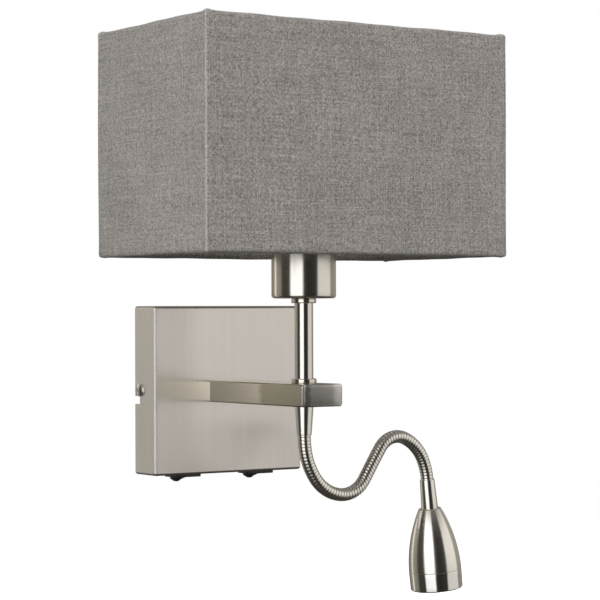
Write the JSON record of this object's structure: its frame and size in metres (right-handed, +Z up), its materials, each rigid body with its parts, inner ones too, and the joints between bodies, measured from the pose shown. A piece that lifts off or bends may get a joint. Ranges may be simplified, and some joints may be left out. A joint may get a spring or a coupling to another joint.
{
  "type": "wall lamp",
  "caption": "Wall lamp: rectangular fabric shade on a stem and arm from a square metal box, with a gooseneck reading head below and rocker switches under the box.",
  "frame": {"origin": "centre of the wall box's back, in the plane of the wall, between the two wall screw slots", "axes": "+X to the right as seen from the room, +Y into the wall, +Z up"},
  "size_m": [0.237, 0.1838, 0.3647],
  "materials": {
    "brushed_nickel": "brushed nickel on sheet steel, satin",
    "turned_nickel": "nickel on turned aluminium, fine turned grain",
    "polished_nickel": "polished nickel on turned aluminium",
    "hose_steel": "bright nickel on a wound steel hose",
    "zinc_steel": "zinc plated, satin",
    "brass": "bright brass",
    "black_plastic": "moulded black nylon, semi-gloss",
    "white_plastic": "moulded white thermoplastic",
    "ceramic": "glazed white steatite",
    "rubber": "black rubber",
    "brown_lead": "silicone sleeve, brown",
    "red_lead": "silicone sleeve, red",
    "shade_linen": "grey-taupe linen weave with slubs",
    "shade_film": "white laminating film",
    "aluminium": "bare turned aluminium",
    "board_white": "white solder mask",
    "phosphor": "yellow phosphor dome",
    "lens_clear": "clear moulded lens"
  },
  "bodies": {
    "lamp": {"wall_bracket": "zinc_steel", "earth_screw": "brass", "terminal_block": "white_plastic", "led_driver": "white_plastic", "wall_box": "brushed_nickel", "box_screws": "zinc_steel", "backing_plate": "zinc_steel", "arm_screws": "zinc_steel", "cable_grommet": "rubber", "arm_root_block": "zinc_steel", "arm_tube": "brushed_nickel", "arm_end_cap": "brushed_nickel", "stem_rod": "zinc_steel", "stem_nuts": "zinc_steel", "lower_collar": "brushed_nickel", "stem_tube": "brushed_nickel", "upper_collar": "brushed_nickel", "lampholder_cup": "brushed_nickel", "lampholder_base": "white_plastic", "lampholder_insert": "ceramic", "lampholder_shell": "zinc_steel", "lampholder_contacts": "brass", "lampholder_sleeve": "white_plastic", "shade_rings": "white_plastic", "shade_lower_frame": "zinc_steel", "shade_upper_frame": "zinc_steel", "shade_liner": "shade_film", "shade_fabric": "shade_linen", "lamp_leads": "brown_lead", "led_leads": "red_lead", "switch_housing_left": "black_plastic", "switch_housing_right": "black_plastic", "switch_terminals": "brass", "neck_nut": "zinc_steel", "neck_nipple": "zinc_steel", "neck_ferrule": "turned_nickel", "neck_root": "hose_steel"},
    "rocker_left": {"rocker_left": "black_plastic"},
    "rocker_right": {"rocker_right": "black_plastic"},
    "neck_1": {"neck_link_1": "hose_steel"},
    "neck_2": {"neck_link_2": "hose_steel"},
    "neck_3": {"neck_link_3": "hose_steel"},
    "neck_4": {"neck_link_4": "hose_steel"},
    "neck_5": {"neck_link_5": "hose_steel"},
    "neck_6": {"neck_link_6": "hose_steel"},
    "reading_head": {"neck_tip": "hose_steel", "head_ferrule": "turned_nickel", "head_nipple": "zinc_steel", "head_body": "turned_nickel", "heat_sink": "aluminium", "led_board": "board_white", "led_emitter": "phosphor", "reflector": "polished_nickel", "head_lens": "lens_clear", "head_ring": "polished_nickel"}
  },
  "joints": [
    {"name": "rocker_left_tilt", "type": "hinge", "parent": "lamp", "child": "rocker_left", "pos_m": [-0.029, -0.013, -0.05695], "axis": [0, 1, 0], "range_deg": [0, 30]},
    {"name": "rocker_right_tilt", "type": "hinge", "parent": "lamp", "child": "rocker_right", "pos_m": [0.029, -0.013, -0.05695], "axis": [0, 1, 0], "range_deg": [0, 30]},
    {"name": "neck_bend_1", "type": "hinge", "parent": "lamp", "child": "neck_1", "pos_m": [0.00049, -0.117, -0.03498], "axis": [0, 1, 0], "range_deg": [-12, 30]},
    {"name": "neck_swing_2", "type": "hinge", "parent": "neck_1", "child": "neck_2", "pos_m": [0.00847, -0.117, -0.05523], "axis": [-0.809, 0, -0.5878], "range_deg": [-25, 25]},
    {"name": "neck_bend_3", "type": "hinge", "parent": "neck_2", "child": "neck_3", "pos_m": [0.02777, -0.117, -0.06649], "axis": [0, 1, 0], "range_deg": [-12, 30]},
    {"name": "neck_swing_4", "type": "hinge", "parent": "neck_3", "child": "neck_4", "pos_m": [0.04735, -0.117, -0.05694], "axis": [-0.8526, 0, 0.5225], "range_deg": [-25, 25]},
    {"name": "neck_bend_5", "type": "hinge", "parent": "neck_4", "child": "neck_5", "pos_m": [0.05979, -0.117, -0.0376], "axis": [0, -1, 0], "range_deg": [-12, 30]},
    {"name": "neck_swing_6", "type": "hinge", "parent": "neck_5", "child": "neck_6", "pos_m": [0.08015, -0.117, -0.03185], "axis": [-0.4147, 0, -0.91], "range_deg": [-25, 25]},
    {"name": "neck_bend_7", "type": "hinge", "parent": "neck_6", "child": "reading_head", "pos_m": [0.09515, -0.117, -0.04725], "axis": [0, -1, 0], "range_deg": [-12, 30]}
  ]
}
